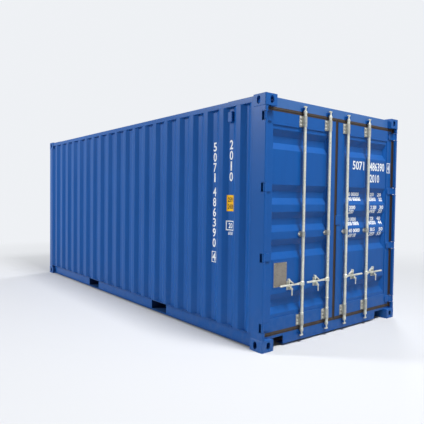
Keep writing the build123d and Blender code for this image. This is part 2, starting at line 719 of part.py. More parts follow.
def leaf_hinges():
    """Forged blades: a plate on the leaf, a cranked neck and a knuckle round the pin."""
    face = LEAF_X + BLADE_THICK
    edge = LEAF_OUTER_Y
    plan = [
        (LEAF_X, edge - BLADE_LAP), (face, edge - BLADE_LAP), (face, edge),
        (PIN_X, PIN_Y - KNUCKLE_R), (PIN_X, PIN_Y), (PIN_X - KNUCKLE_R, PIN_Y), (LEAF_X, edge),
    ]
    blades = []
    for middle in HINGE_Z:
        z = (middle - BLADE_HEIGHT / 2, middle + BLADE_HEIGHT / 2)
        blade = upright(plan, z)
        end = blade.edges().filter_by(Axis.X).group_by(Axis.Y)[0]
        blade = fillet(end, BLADE_CORNER_R) + rod_z(PIN_X, PIN_Y, z, KNUCKLE_R)
        blade -= rod_z(PIN_X, PIN_Y, z, PIN_R + PIN_CLEAR)
        blades.append(blade)
    return blades


def bearing(y, z, reach):
    """A strap round the bar on a plate that is bolted to the leaf beside it."""
    plate = block((LEAF_X, LEAF_X + BRACKET_THICK), (y - reach, y + COLLAR_R + BRACKET_EDGE), z)
    sleeve = rod_z(BAR_X, y, z, COLLAR_R)
    sleeve += block((LEAF_X, BAR_X), (y - COLLAR_R, y + COLLAR_R), z)
    return plate + sleeve - rod_z(BAR_X, y, z, BAR_R + BAR_CLEAR)


def clip(y):
    z = (CLIP_Z - CLIP_HEIGHT / 2, CLIP_Z + CLIP_HEIGHT / 2)
    plate = block((PANEL_X, PANEL_X + BRACKET_THICK), (y - CLIP_REACH, y + CLIP_REACH), z)
    sleeve = rod_z(BAR_X, y, z, COLLAR_R)
    sleeve += block((PANEL_X, BAR_X), (y - COLLAR_R, y + COLLAR_R), z)
    return plate + sleeve - rod_z(BAR_X, y, z, BAR_R + BAR_CLEAR)


def brackets(y):
    margin = (RAIL_WIDTH - BRACKET_HEIGHT) / 2
    low = (LEAF_BOTTOM + margin, LEAF_BOTTOM + margin + BRACKET_HEIGHT)
    high = (LEAF_TOP - margin - BRACKET_HEIGHT, LEAF_TOP - margin)
    return [bearing(y, low, BRACKET_REACH), bearing(y, high, BRACKET_REACH), clip(y)]


def handle_side(y):
    """Handles point away from the meeting stiles."""
    return -1 if y < 0 else 1


def handle_x():
    return (BAR_X - HANDLE_THICK / 2, BAR_X + HANDLE_THICK / 2)


def holder(y):
    """The handle's seat: a bolted foot, an upright with a knob, a slanted arm, a hook and the catch's pin."""
    side = handle_side(y)
    middle = y + side * HOLDER_FROM_BAR
    half = HOLDER_WIDTH / 2
    front = handle_x()[1]
    low, high = HANDLE_Z - HOLDER_DROP, HANDLE_Z + HOLDER_LIFT
    foot_x = (PANEL_X, PANEL_X + HOLDER_THICK)
    foot = block(foot_x, (middle - HOLDER_FOOT / 2, middle + HOLDER_FOOT / 2), (low, high - KNOB_R))
    post_x = (PANEL_X, PANEL_X + HOLDER_DEPTH)
    post = block(post_x, (middle - HOLDER_ARM / 2, middle + HOLDER_ARM / 2), (HANDLE_Z - CATCH_DROP, high))
    knob = rod_x((PANEL_X, post_x[1] + KNOB_PROUD), middle, high, KNOB_R)
    run = middle - side * HOLDER_ARM_RUN
    rise = HANDLE_Z + HOLDER_ARM_RISE
    thick = HOLDER_ARM / 2
    slant = [(middle, high - KNOB_R), (middle, high + KNOB_R / 2), (run, rise + thick), (run, rise - thick)]
    arm = along(slant, post_x)
    arm += rod_x(post_x, run, rise, thick)
    seat = HANDLE_Z - HANDLE_HEIGHT / 2 - HOOK_CLEAR
    hook = block((PANEL_X, front), (middle - half, middle + half), (seat - HOOK_THICK, seat))
    pivot = HANDLE_Z - CATCH_DROP
    boss = rod_x((PANEL_X, front + CATCH_GAP - CATCH_PLAY), middle, pivot, CATCH_R)
    pin_end = front + CATCH_GAP + CATCH_THICK + CATCH_PLAY
    pin = rod_x((PANEL_X, pin_end), middle, pivot, CATCH_PIN_R)
    bore = rod_x((pin_end - CATCH_PIN_BORE_DEPTH, pin_end + CUT), middle, pivot, CATCH_PIN_BORE)
    return foot + post + knob + arm + hook + boss + pin - bore


def cam_profile(end, up):
    """Radii and heights of a cam, from its finger to the plain bar."""
    stem = end - up * CAM_FINGER
    bulb = stem - up * CAM_STEM
    shoulder = bulb - up * CAM_TAPER
    neck = bulb - up * (CAM_BULB - CAM_TAPER)
    bar = bulb - up * CAM_BULB
    return [(CAM_STEM_R, stem), (CAM_STEM_R, bulb), (CAM_BULB_R, shoulder), (CAM_BULB_R, neck), (BAR_R, bar)]


def collar(y, low):
    """A welded ring on the bar with broken corners."""
    high = low + COLLAR_HEIGHT
    edge = COLLAR_R - COLLAR_CHAMFER
    return turned(BAR_X, y, [
        (edge, low), (COLLAR_R, low + COLLAR_CHAMFER), (COLLAR_R, high - COLLAR_CHAMFER), (edge, high),
    ])


def cam_finger(y, side, z):
    """The cam's hooked plate, longer on the handle's side."""
    length = CAM_REACH + CAM_TAIL
    middle = y + side * (CAM_REACH - CAM_TAIL) / 2
    outline = Pos(BAR_X, middle, z[0]) * Rot(0, 0, 90) * SlotOverall(length, 2 * CAM_STEM_R)
    return extrude(outline, amount=z[1] - z[0], dir=(0, 0, 1))


def lock_bar(index):
    """A tube with a cam at each end, collars on the low bearing and the handle's hub."""
    y = BAR_CENTRES[index]
    side = handle_side(y)
    bar = turned(BAR_X, y, cam_profile(BAR_BOTTOM, -1) + cam_profile(BAR_TOP, 1)[::-1])
    bar += cam_finger(y, side, (BAR_BOTTOM, BAR_BOTTOM + CAM_FINGER))
    bar += cam_finger(y, side, (BAR_TOP - CAM_FINGER, BAR_TOP))
    bar += collar(y, LEAF_BOTTOM + RAIL_WIDTH)
    if index == SPARE_COLLAR_BAR:
        bar += collar(y, SPARE_COLLAR_Z)
    low, high = HANDLE_Z - HUB_HEIGHT / 2, HANDLE_Z + HUB_HEIGHT / 2
    hub = [(BAR_R, low), (HUB_R, low + HUB_TAPER), (HUB_R, high - HUB_TAPER), (BAR_R, high)]
    bar += turned(BAR_X, y, hub)
    slot = handle_x()
    pivot = y + side * HANDLE_PIVOT
    half = HANDLE_HEIGHT / 2
    inner = (slot[0] - EAR_CLEAR, slot[1] + EAR_CLEAR)
    outer = (inner[0] - EAR_THICK, inner[1] + EAR_THICK)
    for x in ((outer[0], inner[0]), (inner[1], outer[1])):
        bar += block(x, sorted((y, pivot)), (HANDLE_Z - half, HANDLE_Z + half))
        bar += rod_x(x, pivot, HANDLE_Z, half)
    return bar + rod_x(outer, pivot, HANDLE_Z, HANDLE_PIN_R)


def handle(index):
    """A forged lever: an eye on the pivot, a waisted flat and a round grip with a domed end."""
    y = BAR_CENTRES[index]
    side = handle_side(y)
    x = handle_x()
    pivot = y + side * HANDLE_PIVOT
    waist = pivot + side * HANDLE_WAIST_AT
    grip = y + side * GRIP_FROM_BAR
    tip = y + side * (HANDLE_LENGTH - GRIP_R)
    half, narrow = HANDLE_HEIGHT / 2, HANDLE_WAIST / 2
    outline = [
        (pivot, HANDLE_Z - half), (waist, HANDLE_Z - narrow), (grip, HANDLE_Z - narrow),
        (grip, HANDLE_Z + narrow), (waist, HANDLE_Z + narrow), (pivot, HANDLE_Z + half),
    ]
    lever = along(outline, x) + rod_x(x, pivot, HANDLE_Z, half)
    lever += Pos(BAR_X, (grip + tip) / 2, HANDLE_Z) * Rot(90, 0, 0) * Cylinder(GRIP_R, abs(tip - grip))
    lever += Pos(BAR_X, tip, HANDLE_Z) * Sphere(GRIP_R)
    return lever - rod_x(x, pivot, HANDLE_Z, HANDLE_PIN_R + PIN_CLEAR)


def catch(index):
    """A small plate that hangs from its pin and swings up in front of the handle."""
    y = BAR_CENTRES[index]
    middle = y + handle_side(y) * HOLDER_FROM_BAR
    x0 = handle_x()[1] + CATCH_GAP
    x = (x0, x0 + CATCH_THICK)
    z = HANDLE_Z - CATCH_DROP
    tail = z - CATCH_LENGTH
    half = CATCH_WIDTH / 2
    plate = rod_x(x, middle, z, CATCH_R) + rod_x(x, middle, tail, half)
    plate += block(x, (middle - half, middle + half), (tail, z))
    return plate - rod_x(x, middle, z, CATCH_PIN_R + PIN_CLEAR)


def doors():
    frame = leaf_frame()
    save("right_door_frame", frame + lap_plate())
    save("left_door_frame", flip_y(frame))
    panel = leaf_panel()
    save("right_door_panel", panel)
    save("left_door_panel", flip_y(panel))
    gasket = leaf_gasket()
    save("right_door_gasket", gasket)
    save("left_door_gasket", flip_y(gasket))
    blades = leaf_hinges()
    save("right_door_hinges", *blades)
    save("left_door_hinges", *[flip_y(blade) for blade in blades])
    for name, centres in (("left", BAR_CENTRES[:2]), ("right", BAR_CENTRES[2:])):
        save(f"{name}_bar_brackets", *[solid for y in centres for solid in brackets(y)])
        save(f"{name}_handle_holders", *[holder(y) for y in centres])


def locking_gear():
    for index in range(len(BAR_CENTRES)):
        save(f"lock_bar_{index + 1}", lock_bar(index))
        save(f"handle_{index + 1}", handle(index))
        save(f"catch_{index + 1}", catch(index))


os.makedirs("parts", exist_ok=True)
castings()
posts()
top_rails()
bottom_rails()
side_walls()
front_end()
roof()
underside()
ventilators()
door_end_members()
keepers()
hinge_lugs()
doors()
locking_gear()
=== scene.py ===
import json
import math

import bmesh
import bpy
from mathutils import Matrix, Vector
from mathutils.bvhtree import BVHTree


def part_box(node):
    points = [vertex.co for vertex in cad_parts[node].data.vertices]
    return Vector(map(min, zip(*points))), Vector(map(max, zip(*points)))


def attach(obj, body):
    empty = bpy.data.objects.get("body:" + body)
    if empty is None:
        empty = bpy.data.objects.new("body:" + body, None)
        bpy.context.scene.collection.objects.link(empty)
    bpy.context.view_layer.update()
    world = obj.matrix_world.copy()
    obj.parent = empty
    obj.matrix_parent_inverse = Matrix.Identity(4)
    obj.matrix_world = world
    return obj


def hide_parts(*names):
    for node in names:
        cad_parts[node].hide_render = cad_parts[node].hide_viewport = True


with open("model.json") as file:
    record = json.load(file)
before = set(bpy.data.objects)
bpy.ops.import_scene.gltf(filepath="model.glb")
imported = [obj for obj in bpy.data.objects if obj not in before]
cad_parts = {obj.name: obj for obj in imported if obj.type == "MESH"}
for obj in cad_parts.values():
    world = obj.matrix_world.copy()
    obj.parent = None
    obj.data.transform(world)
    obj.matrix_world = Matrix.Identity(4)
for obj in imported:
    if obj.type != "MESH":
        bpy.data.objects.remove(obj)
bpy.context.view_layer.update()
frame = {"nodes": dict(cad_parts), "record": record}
nodes = frame["nodes"]

# Places shared by several pieces, in metres as all sizes here

LEAF_X = 2.975
BAR_CENTRES = (-0.6, -0.17, 0.17, 0.6)
SIDES = ((-1, "left"), (1, "right"))
UP = (0, 0, 1)


# Shader helpers

def shader_group(name, colours, values, outputs=("Roughness", "Height")):
    """A group with colours and values to set, which gives a colour and the named values."""
    tree = bpy.data.node_groups.new(name, "ShaderNodeTree")
    for label, colour in colours.items():
        socket = tree.interface.new_socket(name=label, in_out="INPUT", socket_type="NodeSocketColor")
        socket.default_value = (*colour, 1)
    for label, value in values.items():
        socket = tree.interface.new_socket(name=label, in_out="INPUT", socket_type="NodeSocketFloat")
        socket.default_value = value
    tree.interface.new_socket(name="Colour", in_out="OUTPUT", socket_type="NodeSocketColor")
    for label in outputs:
        tree.interface.new_socket(name=label, in_out="OUTPUT", socket_type="NodeSocketFloat")
    return tree, tree.nodes.new("NodeGroupInput"), tree.nodes.new("NodeGroupOutput")


def place(tree, kind, **values):
    """A new node with its own settings."""
    node = tree.nodes.new(kind)
    for key, value in values.items():
        setattr(node, key, value)
    return node


def object_place(tree):
    return place(tree, "ShaderNodeTexCoord").outputs["Object"]


def noise(tree, vector, scale, detail=4.0, rough=0.55):
    node = place(tree, "ShaderNodeTexNoise")
    node.inputs["Scale"].default_value = scale
    node.inputs["Detail"].default_value = detail
    node.inputs["Roughness"].default_value = rough
    tree.links.new(vector, node.inputs["Vector"])
    return node.outputs["Fac"]


def stretched(tree, vector, scale):
    node = place(tree, "ShaderNodeMapping")
    node.inputs["Scale"].default_value = scale
    tree.links.new(vector, node.inputs["Vector"])
    return node.outputs["Vector"]


def height_part(tree, vector):
    """The Z share of a place or a direction."""
    node = place(tree, "ShaderNodeSeparateXYZ")
    tree.links.new(vector, node.inputs["Vector"])
    return node.outputs["Z"]


def spread(tree, value, low, high, to_low=0.0, to_high=1.0):
    """A value carried from one range to another and held at its ends."""
    node = place(tree, "ShaderNodeMapRange")
    tree.links.new(value, node.inputs["Value"])
    node.inputs["From Min"].default_value = low
    node.inputs["From Max"].default_value = high
    node.inputs["To Min"].default_value = to_low
    node.inputs["To Max"].default_value = to_high
    return node.outputs["Result"]


def maths(tree, kind, first, second):
    node = place(tree, "ShaderNodeMath", operation=kind)
    for index, value in enumerate((first, second)):
        if isinstance(value, float):
            node.inputs[index].default_value = value
        else:
            tree.links.new(value, node.inputs[index])
    return node.outputs["Value"]


def times(tree, first, second):
    return maths(tree, "MULTIPLY", first, second)


def plus(tree, first, second):
    return maths(tree, "ADD", first, second)


def mixed(tree, share, first, second):
    node = place(tree, "ShaderNodeMix", data_type="RGBA", blend_type="MIX")
    for index, value in ((0, share), (6, first), (7, second)):
        tree.links.new(value, node.inputs[index])
    return node.outputs[2]


# Shader groups shared by the finishes

def weathering_group():
    """Uneven paint, faint runs down the sheet, dust that gathers low and on ledges, fine orange peel."""
    colours = {
        "Colour": (0.005, 0.078, 0.305),
        "Fade Colour": (0.012, 0.115, 0.40),
        "Run Colour": (0.003, 0.040, 0.18),
        "Dust Colour": (0.30, 0.30, 0.29),
    }
    values = {"Dust": 0.25, "Runs": 0.15, "Base Roughness": 0.35}
    tree, start, end = shader_group("paint_weather", colours, values)
    where = object_place(tree)
    broad = noise(tree, where, 1.1, 3.0)
    runs = noise(tree, stretched(tree, where, (22.0, 22.0, 0.9)), 1.0, 5.0)
    peel = noise(tree, where, 260.0, 2.0)
    dent = noise(tree, where, 3.2, 2.0)
    low = spread(tree, height_part(tree, where), 0.0, 0.55, 1.0, 0.0)
    facing = place(tree, "ShaderNodeNewGeometry").outputs["Normal"]
    ledge = spread(tree, height_part(tree, facing), 0.3, 0.95)
    speckle = spread(tree, noise(tree, where, 14.0, 8.0, 0.7), 0.42, 0.72)
    gather = times(tree, maths(tree, "MAXIMUM", low, ledge), speckle)
    dust = times(tree, gather, start.outputs["Dust"])
    shade = spread(tree, broad, 0.3, 0.7, 0.0, 0.16)
    faded = mixed(tree, shade, start.outputs["Colour"], start.outputs["Fade Colour"])
    run_share = times(tree, spread(tree, runs, 0.5, 0.8), start.outputs["Runs"])
    streaked = mixed(tree, run_share, faded, start.outputs["Run Colour"])
    dusted = mixed(tree, dust, streaked, start.outputs["Dust Colour"])
    tree.links.new(dusted, end.inputs["Colour"])
    rough = plus(tree, start.outputs["Base Roughness"], spread(tree, broad, 0.3, 0.7, -0.04, 0.07))
    tree.links.new(plus(tree, rough, times(tree, dust, 0.8)), end.inputs["Roughness"])
    tree.links.new(plus(tree, times(tree, peel, 0.12), dent), end.inputs["Height"])
    return tree


def zinc_group():
    """The crystal pattern and dull patches of galvanised steel."""
    colours = {"Light": (0.72, 0.72, 0.62), "Dark": (0.53, 0.53, 0.45)}
    tree, start, end = shader_group("zinc_crystals", colours, {"Crystal Size": 70.0})
    where = object_place(tree)
    cells = place(tree, "ShaderNodeTexVoronoi")
    tree.links.new(stretched(tree, where, (1.0, 1.0, 0.6)), cells.inputs["Vector"])
    tree.links.new(start.outputs["Crystal Size"], cells.inputs["Scale"])
    split = place(tree, "ShaderNodeSeparateColor")
    tree.links.new(cells.outputs["Color"], split.inputs["Color"])
    crystal = split.outputs["Red"]
    patches = noise(tree, where, 9.0)
    share = times(tree, crystal, spread(tree, patches, 0.35, 0.65, 0.35, 1.0))
    colour = mixed(tree, share, start.outputs["Light"], start.outputs["Dark"])
    tree.links.new(colour, end.inputs["Colour"])
    tree.links.new(spread(tree, share, 0.0, 1.0, 0.32, 0.55), end.inputs["Roughness"])
    tree.links.new(plus(tree, patches, times(tree, crystal, 0.3)), end.inputs["Height"])
    return tree


def grain_group():
    """Long wood grain with darker pores, for the floor's plywood faces."""
    colours = {"Light": (0.42, 0.26, 0.13), "Dark": (0.24, 0.13, 0.06)}
    tree, start, end = shader_group("plywood_grain", colours, {}, ("Height",))
    where = object_place(tree)
    long_grain = noise(tree, stretched(tree, where, (1.2, 26.0, 26.0)), 1.6, 6.0, 0.6)
    pores = noise(tree, stretched(tree, where, (9.0, 320.0, 320.0)), 1.0, 3.0, 0.6)
    pore_share = times(tree, spread(tree, pores, 0.55, 0.75), 0.35)
    share = plus(tree, spread(tree, long_grain, 0.35, 0.68), pore_share)
    colour = mixed(tree, share, start.outputs["Light"], start.outputs["Dark"])
    tree.links.new(colour, end.inputs["Colour"])
    tree.links.new(share, end.inputs["Height"])
    return tree


WEATHER = weathering_group()
ZINC = zinc_group()
GRAIN = grain_group()


# Finishes

def finish(name, group, roughness=0.4, metallic=0.0, bump=0.1, bump_distance=0.001, specular=0.22, **values):
    """A material whose colour, roughness and relief come from a shared group with its own values."""
    material = bpy.data.materials.new(name)
    material.use_nodes = True
    tree = material.node_tree
    shader = tree.nodes["Principled BSDF"]
    shader.inputs["Metallic"].default_value = metallic
    shader.inputs["Roughness"].default_value = roughness
    shader.inputs["Specular IOR Level"].default_value = specular
    effect = place(tree, "ShaderNodeGroup", node_tree=group)
    for label, value in values.items():
        socket = effect.inputs[label.replace("_", " ")]
        socket.default_value = (*value, 1) if isinstance(value, tuple) else value
    tree.links.new(effect.outputs["Colour"], shader.inputs["Base Color"])
    if "Roughness" in effect.outputs:
        tree.links.new(effect.outputs["Roughness"], shader.inputs["Roughness"])
    relief = place(tree, "ShaderNodeBump")
    relief.inputs["Strength"].default_value = bump
    relief.inputs["Distance"].default_value = bump_distance
    tree.links.new(effect.outputs["Height"], relief.inputs["Height"])
    tree.links.new(relief.outputs["Normal"], shader.inputs["Normal"])
    return material


SHEET_PAINT = finish("sheet_paint", WEATHER, bump=0.35, bump_distance=0.002, specular=0.16,
                     Colour=(0.005, 0.078, 0.305), Dust=0.08, Runs=0.2, Base_Roughness=0.34)
FRAME_PAINT = finish("frame_paint", WEATHER, bump=0.2, specular=0.18,
                     Colour=(0.006, 0.080, 0.308), Dust=0.12, Runs=0.1, Base_Roughness=0.34)
# The header's paint is lighter and paler than the frame's: a painted reflection of the sky on its faces.
HEADER_PAINT_AND_SKY_REFLECTION = finish("header_paint_and_sky_reflection", WEATHER, bump=0.2, specular=0.3,
                      Colour=(0.040, 0.122, 0.332), Dust=0.12, Runs=0.1, Base_Roughness=0.4)
# The fork pockets get a much darker paint than the frame: painted shade inside the pockets.
POCKET_PAINTED_SHADE = finish("pocket_painted_shade", WEATHER, bump=0.6, bump_distance=0.002, specular=0.15,
                      Colour=(0.003, 0.030, 0.110), Dust=0.1, Runs=0.3, Base_Roughness=0.55)
CAST_PAINT = finish("casting_paint", WEATHER, bump=0.6, bump_distance=0.002, specular=0.2,
                    Colour=(0.008, 0.084, 0.310), Dust=0.15, Runs=0.15, Base_Roughness=0.42)
GALVANISED = finish("galvanised", ZINC, metallic=0.4, bump=0.12, bump_distance=0.0006)
BRACKET_ZINC = finish("bracket_zinc", ZINC, metallic=0.5, bump=0.2, bump_distance=0.0006,
                      Light=(0.50, 0.50, 0.44), Dark=(0.30, 0.30, 0.26), Crystal_Size=90.0)
FORGED_ZINC = finish("forged_zinc", ZINC, metallic=0.5, bump=0.3, bump_distance=0.0008,
                     Light=(0.64, 0.64, 0.59), Dark=(0.44, 0.44, 0.40), Crystal_Size=120.0)
SEAL_RUBBER = finish("seal_rubber", WEATHER, bump=0.25, bump_distance=0.0006, specular=0.25,
                     Colour=(0.040, 0.028, 0.021), Fade_Colour=(0.075, 0.055, 0.042),
                     Run_Colour=(0.02, 0.016, 0.014), Dust=0.12, Runs=0.3, Base_Roughness=0.6)
MARK_WHITE = finish("mark_white", WEATHER, Colour=(0.80, 0.82, 0.82), Fade_Colour=(0.72, 0.75, 0.78),
                    Run_Colour=(0.55, 0.6, 0.68), Dust=0.05, Runs=0.1, Base_Roughness=0.45)
MARK_YELLOW = finish("mark_yellow", WEATHER, Colour=(0.84, 0.46, 0.006), Fade_Colour=(0.80, 0.48, 0.03),
                     Run_Colour=(0.6, 0.33, 0.01), Dust=0.03, Runs=0.1, Base_Roughness=0.4)
MARK_BLACK = finish("mark_black", WEATHER, Colour=(0.015, 0.014, 0.014), Fade_Colour=(0.03, 0.03, 0.03),
                    Run_Colour=(0.02, 0.02, 0.02), Dust=0.03, Runs=0.1, Base_Roughness=0.45)
PLATE_METAL = finish("plate_metal", ZINC, metallic=0.2, Light=(0.27, 0.245, 0.21),
                     Dark=(0.14, 0.125, 0.105), Crystal_Size=160.0)
PLYWOOD = finish("plywood_face", GRAIN, roughness=0.62, bump=0.3, bump_distance=0.0008)

SLOT_FINISH = {
    "blue_paint": FRAME_PAINT,
    "zinc_steel": GALVANISED,
    "seal_rubber": SEAL_RUBBER,
    "plywood": PLYWOOD,
}
NODE_FINISH = {
    "left_wall": SHEET_PAINT,
    "right_wall": SHEET_PAINT,
    "front_wall": SHEET_PAINT,
    "roof_panel": SHEET_PAINT,
    "left_door_panel": SHEET_PAINT,
    "right_door_panel": SHEET_PAINT,
    "bottom_castings": CAST_PAINT,
    "top_castings": CAST_PAINT,
    "left_bar_brackets": BRACKET_ZINC,
    "right_bar_brackets": BRACKET_ZINC,
    "door_header": HEADER_PAINT_AND_SKY_REFLECTION,
    "fork_pockets": POCKET_PAINTED_SHADE,
}
SLOTS = {part["node"]: part["material_slot"] for part in frame["record"]["subparts"]}
BODY_OF = {name: body for body, names in frame["record"]["behaviour"]["bodies"].items() for name in names}


def finish_of(node):
    return NODE_FINISH.get(node, SLOT_FINISH[SLOTS[node]])


# Mesh helpers

def piece(name, bm, material, body):
    """A finished mesh that rides on a body and takes its finish from a material slot."""
    mesh = bpy.data.meshes.new(name)
    bm.normal_update()
    bm.to_mesh(mesh)
    bm.free()
    made = bpy.data.objects.new(name, mesh)
    bpy.context.scene.collection.objects.link(made)
    mesh.materials.append(material)
    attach(made, body)
    return made


def shaded(made, angle=30):
    """Smooth faces with sharp creases past the angle."""
    for polygon in made.data.polygons:
        polygon.use_smooth = True
    made.data.set_sharp_from_angle(angle=math.radians(angle))
    return made


def crisp(made, limit):
    """Flat faces stay flat up to their rounded edges, and the roundings take the turn between them."""
    mesh = made.data
    nearest = math.cos(math.radians(limit))
    faces_at = [[] for _ in mesh.vertices]
    for polygon in mesh.polygons:
        polygon.use_smooth = True
        for index in polygon.vertices:
            faces_at[index].append((polygon.normal.copy(), polygon.area))
    turned = [Vector(UP)] * len(mesh.loops)
    for polygon in mesh.polygons:
        for loop in polygon.loop_indices:
            total = Vector()
            for normal, area in faces_at[mesh.loops[loop].vertex_index]:
                if normal.dot(polygon.normal) > nearest:
                    total += normal * area
            turned[loop] = total.normalized()
    mesh.normals_split_custom_set(turned)
    return made


def add_box(bm, low, high):
    size = Vector(high) - Vector(low)
    middle = (Vector(high) + Vector(low)) / 2
    bmesh.ops.create_cube(bm, size=1.0, matrix=Matrix.Translation(middle) @ Matrix.Diagonal((*size, 1)))


def band(bm, first, second):
    """Faces between two closed rings of vertices."""
    for step in range(len(first)):
        after = (step + 1) % len(first)
        bm.faces.new((first[step], first[after], second[after], second[step]))


def tube(bm, points, radii, sides):
    """A round rod along a line of points with a radius at each, closed at both ends."""
    rings = []
    points = [Vector(point) for point in points]
    last = len(points) - 1
    for index, point in enumerate(points):
        ahead = (points[min(index + 1, last)] - points[max(index - 1, 0)]).normalized()
        helper = Vector((0, 0, 1)) if abs(ahead.z) < 0.9 else Vector((1, 0, 0))
        first = ahead.cross(helper).normalized()
        second = first.cross(ahead)
        ring = []
        for step in range(sides):
            turn = math.tau * step / sides
            out = first * math.cos(turn) + second * math.sin(turn)
            ring.append(bm.verts.new(point + out * radii[index]))
        rings.append(ring)
    for low, high in zip(rings, rings[1:]):
        band(bm, low, high)
    bm.faces.new(reversed(rings[0]))
    bm.faces.new(rings[-1])


# Skins with rounded bends

SHEET_TURN = 24
BLOCK_TURN = 50
LEAST_BEND = 20
STEEPEST_SHEET_BEND = 80
ROUNDED = {
    "left_wall": (0.007, 0.5),
    "right_wall": (0.007, 0.5),
    "front_wall": (0.005, 0.5),
    "roof_panel": (0.004, 0.1),
    "left_door_panel": (0.006, 0.02),
    "right_door_panel": (0.006, 0.02),
    "bottom_castings": (0.0025, 0.0),
    "top_castings": (0.0025, 0.0),
    "rear_posts": (0.003, 0.0),
    "front_posts": (0.003, 0.0),
    "door_header": (0.003, 0.0),
    "door_sill": (0.003, 0.0),
    "front_header": (0.003, 0.0),
    "top_side_rails": (0.003, 0.0),
    "bottom_side_rails": (0.002, 0.0),
    "left_door_frame": (0.002, 0.0),
    "right_door_frame": (0.002, 0.0),
}


def softened(node, width, shortest):
    """The node's own shape with its bends rounded, in a sheet only those past the shortest length."""
    bm = bmesh.new()
    bm.from_mesh(nodes[node].data)
    bmesh.ops.remove_doubles(bm, verts=bm.verts, dist=1e-5)
    bmesh.ops.dissolve_limit(bm, angle_limit=math.radians(1), verts=bm.verts, edges=bm.edges)
    steepest = STEEPEST_SHEET_BEND if shortest else 180
    sharp = []
    for edge in bm.edges:
        if len(edge.link_faces) == 2 and edge.calc_length() >= shortest:
            if LEAST_BEND < math.degrees(edge.calc_face_angle(0)) < steepest:
                sharp.append(edge)
    bmesh.ops.bevel(bm, geom=sharp, offset=width, offset_type="OFFSET", segments=2, profile=0.5,
                    affect="EDGES", clamp_overlap=True)
    made = piece(node + "_skin", bm, finish_of(node), BODY_OF[node])
    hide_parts(node)
    return crisp(made, SHEET_TURN if shortest else BLOCK_TURN)


# Bolts of the locking gear

BOLT_R = 0.011
BOLT_HEAD = 0.009
HOLDER_BOLT_R = 0.0052
HOLDER_BOLT_HEAD = 0.005
WASHER = (0.12, 0.24, 1.45, 1.40, 14)
HEXAGON = (0.55, 0.66, 1.0, 1.0, 6)
HEXAGON_TOP = (0.94, 0.12, 1.0, 0.82, 6)
BRACKET_FACE = LEAF_X + 0.004
BRACKET_BOLT_Y = -0.039
BRACKET_BOLT_PITCH = 0.038
BRACKET_HALF = 0.059
CLIP_Z = 1.170
HOLDER_FROM_BAR = 0.184
HOLDER_FACE = LEAF_X + 0.005
HOLDER_BOLT_Y = 0.0185
HOLDER_BOLTS_Z = (0.618, 0.676)


def add_bolt(bm, centre, radius=BOLT_R, head=BOLT_HEAD):
    """A bolt head on its washer, standing towards +X: each disc is given in shares of head and radius."""
    turn = Vector(UP).rotation_difference(Vector((1, 0, 0))).to_matrix().to_4x4()
    for middle, depth, lower, upper, sides in (WASHER, HEXAGON, HEXAGON_TOP):
        at = Matrix.Translation(centre) @ turn @ Matrix.Translation((0, 0, head * middle))
        bmesh.ops.create_cone(bm, cap_ends=True, segments=sides, radius1=radius * lower,
                              radius2=radius * upper, depth=head * depth, matrix=at)


def add_locking_bolts():
    """The bolts of the bar brackets, clips and handle holders."""
    for side, hand in SIDES:
        bm = bmesh.new()
        low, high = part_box(f"{hand}_bar_brackets")
        for bar_y in (centre for centre in BAR_CENTRES if centre * side > 0):
            for middle in (low[2] + BRACKET_HALF, high[2] - BRACKET_HALF):
                for row in (-1, 0, 1):
                    z = middle + row * BRACKET_BOLT_PITCH
                    add_bolt(bm, (BRACKET_FACE, bar_y + BRACKET_BOLT_Y, z))
            add_bolt(bm, (BRACKET_FACE, bar_y + BRACKET_BOLT_Y, CLIP_Z))
            for shift in (-HOLDER_BOLT_Y, HOLDER_BOLT_Y):
                for z in HOLDER_BOLTS_Z:
                    at = (HOLDER_FACE, bar_y + side * HOLDER_FROM_BAR + shift, z)
                    add_bolt(bm, at, HOLDER_BOLT_R, HOLDER_BOLT_HEAD)
        shaded(piece(f"{hand}_door_bolts", bm, FORGED_ZINC, f"{hand}_door"))


# Weld beads

HINGES = 4
HINGE_HALF = 0.040
HINGE_WELD_START = 0.026
HINGE_WELD_END = 1.158
WELD_R = 0.0032
WELD_STEP = 0.008
WELD_RIPPLE = 0.84
CASTING_WELD_R = 0.004
CASTING_WELD_X = (2.870, 3.0255)
CASTING_WELD_Y = 1.2148
CASTING_WELDS_Z = (0.118, 2.473)


def add_bead(bm, start, stop, radius=WELD_R):
    """A straight weld bead, with the ripples of its passes."""
    start = Vector(start)
    stop = Vector(stop)
    count = max(2, round((stop - start).length / WELD_STEP) + 1)
    points = [start.lerp(stop, index / (count - 1)) for index in range(count)]
    tube(bm, points, [radius * (1.0 if index % 2 else WELD_RIPPLE) for index in range(count)], 6)


def hinge_middles(hand):
    """The heights of a leaf's hinges."""
    low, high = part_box(f"{hand}_door_hinges")
    reach = (high[2] - low[2] - 2 * HINGE_HALF) / (HINGES - 1)
    return [low[2] + HINGE_HALF + index * reach for index in range(HINGES)]


def add_welds():
    """Beads where hinge blades meet the leaves and where castings meet posts and rails."""
    for side, hand in SIDES:
        bm = bmesh.new()
        low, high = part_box(f"{hand}_door_hinges")
        inner = min(abs(low[1]), abs(high[1])) + HINGE_WELD_START
        for middle in hinge_middles(hand):
            for z in (middle - HINGE_HALF, middle + HINGE_HALF):
                add_bead(bm, (LEAF_X, side * inner, z), (LEAF_X, side * HINGE_WELD_END, z))
        shaded(piece(f"{hand}_door_welds", bm, FRAME_PAINT, f"{hand}_door"))
    bm = bmesh.new()
    near, far = CASTING_WELD_X
    for end in (-1, 1):
        for side, _ in SIDES:
            for z in CASTING_WELDS_Z:
                y = side * CASTING_WELD_Y
                add_bead(bm, (end * near, y, z), (end * far, y, z), CASTING_WELD_R)
    shaded(piece("casting_welds", bm, CAST_PAINT, "frame"))


# Lips of the door seals

